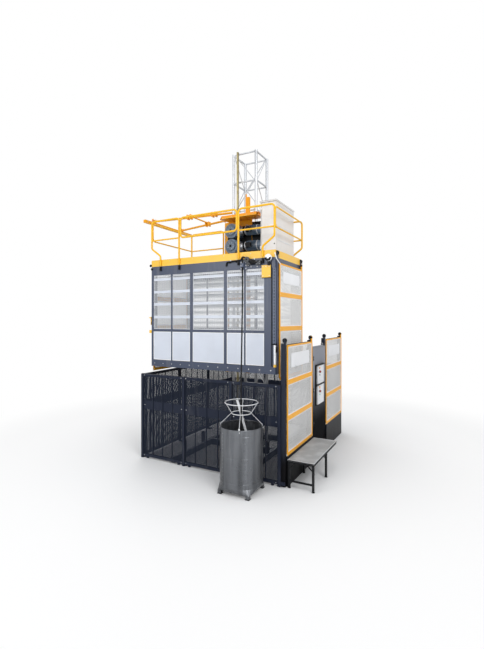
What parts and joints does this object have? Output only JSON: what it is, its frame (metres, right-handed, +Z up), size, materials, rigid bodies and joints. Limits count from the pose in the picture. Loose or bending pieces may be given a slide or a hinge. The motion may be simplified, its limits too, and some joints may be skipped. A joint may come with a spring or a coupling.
{
  "type": "freight elevator",
  "caption": "Rack and pinion construction hoist: a lattice mast with a raised mesh cage, rooftop drives and guard rails, a ground enclosure with lifting gates, and a cable bucket.",
  "frame": {"origin": "mast axis at the underside of the mast foot plate, on the ground", "axes": "+X points to the landing gates, -Y to the cage in front of the mast, +Z up along the mast"},
  "size_m": [5.33, 5.23, 7.5597],
  "materials": {
    "base_paint": "satin",
    "rubber": "matte",
    "galvanised": "satin",
    "rack_steel": "satin",
    "enclosure_paint": "satin",
    "panel_paint": "satin",
    "white_paint": "satin",
    "cable_rubber": "matte",
    "grey_plate": "matte",
    "black_paint": "satin",
    "yellow_paint": "satin",
    "chain_steel": "satin",
    "cage_paint": "satin",
    "light_mesh": "satin",
    "light_panel": "satin",
    "motor_paint": "satin",
    "orange_paint": "satin",
    "white_plastic": "gloss",
    "gate_paint": "satin",
    "weight_iron": "matte",
    "red_plastic": "gloss"
  },
  "bodies": {
    "base": {"base_frame": "base_paint", "rubber_buffers": "rubber", "mast_tubes": "galvanised", "mast_frames": "galvanised", "rack": "rack_steel", "enclosure_frame": "enclosure_paint", "enclosure_mesh": "enclosure_paint", "enclosure_band": "enclosure_paint", "gate_posts": "enclosure_paint", "electrical_panel": "panel_paint", "cable_bucket": "galvanised", "bucket_guide": "white_paint", "trailing_cable_coil": "cable_rubber", "trailing_cable": "cable_rubber", "table_top": "grey_plate", "table_frame": "black_paint", "wall_tie": "yellow_paint", "landing_gate_chains": "chain_steel"},
    "cage": {"cage_frame": "cage_paint", "cage_floor": "grey_plate", "cage_mesh": "light_mesh", "cage_panels": "light_panel", "cage_door_posts": "cage_paint", "roof_beam": "yellow_paint", "roof_deck": "grey_plate", "guard_rails": "yellow_paint", "roof_cabinet": "white_paint", "drive_carrier": "yellow_paint", "gearboxes": "motor_paint", "motors": "motor_paint", "drive_canopy": "orange_paint", "cable_bracket": "galvanised", "power_hoses": "cable_rubber", "work_lamp": "white_plastic", "cage_fittings": "yellow_paint", "cage_door_chains": "chain_steel"},
    "drive_pinion_upper": {"drive_pinion_upper": "rack_steel"},
    "drive_pinion_lower": {"drive_pinion_lower": "rack_steel"},
    "backup_roller": {"backup_roller": "chain_steel"},
    "guide_rollers_upper": {"guide_rollers_upper": "chain_steel"},
    "guide_rollers_lower": {"guide_rollers_lower": "chain_steel"},
    "near_door": {"near_door": "gate_paint"},
    "near_door_weights": {"near_door_weights": "weight_iron"},
    "near_door_sheaves": {"near_door_sheaves": "black_paint"},
    "far_door": {"far_door": "gate_paint"},
    "far_door_weights": {"far_door_weights": "weight_iron"},
    "far_door_sheaves": {"far_door_sheaves": "black_paint"},
    "landing_gate_1": {"landing_gate_1": "gate_paint"},
    "landing_gate_1_weights": {"landing_gate_1_weights": "weight_iron"},
    "landing_gate_1_sheaves": {"landing_gate_1_sheaves": "black_paint"},
    "landing_gate_2": {"landing_gate_2": "gate_paint"},
    "landing_gate_2_weights": {"landing_gate_2_weights": "weight_iron"},
    "landing_gate_2_sheaves": {"landing_gate_2_sheaves": "black_paint"},
    "roof_hatch": {"roof_hatch": "yellow_paint"},
    "cabinet_door": {"cabinet_door": "white_paint"},
    "stop_button_upper": {"stop_button_upper": "red_plastic"},
    "stop_button_lower": {"stop_button_lower": "red_plastic"},
    "door_handle": {"door_handle": "yellow_paint"},
    "panel_door": {"panel_door": "panel_paint", "control_boxes": "white_plastic"}
  },
  "joints": [
    {"name": "cage_travel", "type": "slide", "parent": "base", "child": "cage", "axis": [0, 0, 1], "range_m": [-1.76, 1], "deforming": ["trailing_cable"]},
    {"name": "pinion_upper_spin", "type": "hinge", "parent": "cage", "child": "drive_pinion_upper", "pos_m": [-0.07, -0.42, 5.43611], "axis": [0, 1, 0], "range_deg": [-960, 1686]},
    {"name": "pinion_lower_spin", "type": "hinge", "parent": "cage", "child": "drive_pinion_lower", "pos_m": [-0.07, -0.42, 5.05911], "axis": [0, 1, 0], "range_deg": [-960, 1686]},
    {"name": "backup_roller_spin", "type": "hinge", "parent": "cage", "child": "backup_roller", "pos_m": [-0.2203, -0.42, 5.24761], "axis": [0, 1, 0], "range_deg": [-2246, 1279]},
    {"name": "guide_rollers_upper_spin", "type": "hinge", "parent": "cage", "child": "guide_rollers_upper", "pos_m": [0, -0.4083, 5.63611], "axis": [1, 0, 0], "range_deg": [-1279, 2246]},
    {"name": "guide_rollers_lower_spin", "type": "hinge", "parent": "cage", "child": "guide_rollers_lower", "pos_m": [0, -0.4083, 2.46], "axis": [1, 0, 0], "range_deg": [-1279, 2246]},
    {"name": "near_door_lift", "type": "slide", "parent": "cage", "child": "near_door", "axis": [0, 0, 1], "range_m": [0, 1.9], "deforming": ["cage_door_chains"]},
    {"name": "near_door_weights_slide", "type": "slide", "parent": "cage", "child": "near_door_weights", "axis": [0, 0, 1], "range_m": [-1.9, 0]},
    {"name": "near_door_sheaves_spin", "type": "hinge", "parent": "cage", "child": "near_door_sheaves", "pos_m": [1.607, -1.97, 4.6], "axis": [0, 1, 0], "range_deg": [-2727, 5]},
    {"name": "far_door_lift", "type": "slide", "parent": "cage", "child": "far_door", "axis": [0, 0, 1], "range_m": [0, 1.9], "deforming": ["cage_door_chains"]},
    {"name": "far_door_weights_slide", "type": "slide", "parent": "cage", "child": "far_door_weights", "axis": [0, 0, 1], "range_m": [-1.9, 0]},
    {"name": "far_door_sheaves_spin", "type": "hinge", "parent": "cage", "child": "far_door_sheaves", "pos_m": [-1.572, -1.97, 4.6], "axis": [0, 1, 0], "range_deg": [-5, 2727]},
    {"name": "landing_gate_1_lift", "type": "slide", "parent": "base", "child": "landing_gate_1", "axis": [0, 0, 1], "range_m": [0, 1.9], "deforming": ["landing_gate_chains"]},
    {"name": "landing_gate_1_weights_slide", "type": "slide", "parent": "base", "child": "landing_gate_1_weights", "axis": [0, 0, 1], "range_m": [-1.9, 0]},
    {"name": "landing_gate_1_sheaves_spin", "type": "hinge", "parent": "base", "child": "landing_gate_1_sheaves", "pos_m": [1.829, -2.11, 2.85], "axis": [0, 1, 0], "range_deg": [-2727, 5]},
    {"name": "landing_gate_2_lift", "type": "slide", "parent": "base", "child": "landing_gate_2", "axis": [0, 0, 1], "range_m": [0, 1.9], "deforming": ["landing_gate_chains"]},
    {"name": "landing_gate_2_weights_slide", "type": "slide", "parent": "base", "child": "landing_gate_2_weights", "axis": [0, 0, 1], "range_m": [-1.9, 0]},
    {"name": "landing_gate_2_sheaves_spin", "type": "hinge", "parent": "base", "child": "landing_gate_2_sheaves", "pos_m": [1.829, 0.53, 2.85], "axis": [0, 1, 0], "range_deg": [-2727, 5]},
    {"name": "roof_hatch_hinge", "type": "hinge", "parent": "cage", "child": "roof_hatch", "pos_m": [-1.314, -1.28, 4.672], "axis": [0, -1, 0], "range_deg": [0, 100]},
    {"name": "cabinet_door_hinge", "type": "hinge", "parent": "cage", "child": "cabinet_door", "pos_m": [1.092, -1.664, 5.2], "axis": [0, 0, -1], "range_deg": [0, 90]},
    {"name": "panel_door_hinge", "type": "hinge", "parent": "base", "child": "panel_door", "pos_m": [1.864, 0.4877, 1.6], "axis": [0, 0, 1], "range_deg": [0, 110]},
    {"name": "stop_button_upper_press", "type": "slide", "parent": "panel_door", "child": "stop_button_upper", "axis": [1, 0, 0], "range_m": [-0.006, 0], "stiffness_N_per_m": 2500},
    {"name": "stop_button_lower_press", "type": "slide", "parent": "panel_door", "child": "stop_button_lower", "axis": [1, 0, 0], "range_m": [-0.006, 0], "stiffness_N_per_m": 2500},
    {"name": "door_handle_turn", "type": "hinge", "parent": "cage", "child": "door_handle", "pos_m": [-1.622, -2.01, 3.23], "axis": [1, 0, 0], "range_deg": [0, 60]}
  ],
  "couplings": [
    {"joint": "pinion_upper_spin", "follows": "cage_travel", "rad_per_m": -16.667},
    {"joint": "pinion_lower_spin", "follows": "cage_travel", "rad_per_m": -16.667},
    {"joint": "backup_roller_spin", "follows": "cage_travel", "rad_per_m": 22.222},
    {"joint": "guide_rollers_upper_spin", "follows": "cage_travel", "rad_per_m": -22.222},
    {"joint": "guide_rollers_lower_spin", "follows": "cage_travel", "rad_per_m": -22.222},
    {"joint": "near_door_weights_slide", "follows": "near_door_lift", "ratio": -1},
    {"joint": "near_door_sheaves_spin", "follows": "near_door_lift", "rad_per_m": -25},
    {"joint": "far_door_weights_slide", "follows": "far_door_lift", "ratio": -1},
    {"joint": "far_door_sheaves_spin", "follows": "far_door_lift", "rad_per_m": 25},
    {"joint": "landing_gate_1_weights_slide", "follows": "landing_gate_1_lift", "ratio": -1},
    {"joint": "landing_gate_1_sheaves_spin", "follows": "landing_gate_1_lift", "rad_per_m": -25},
    {"joint": "landing_gate_2_weights_slide", "follows": "landing_gate_2_lift", "ratio": -1},
    {"joint": "landing_gate_2_sheaves_spin", "follows": "landing_gate_2_lift", "rad_per_m": -25}
  ]
}
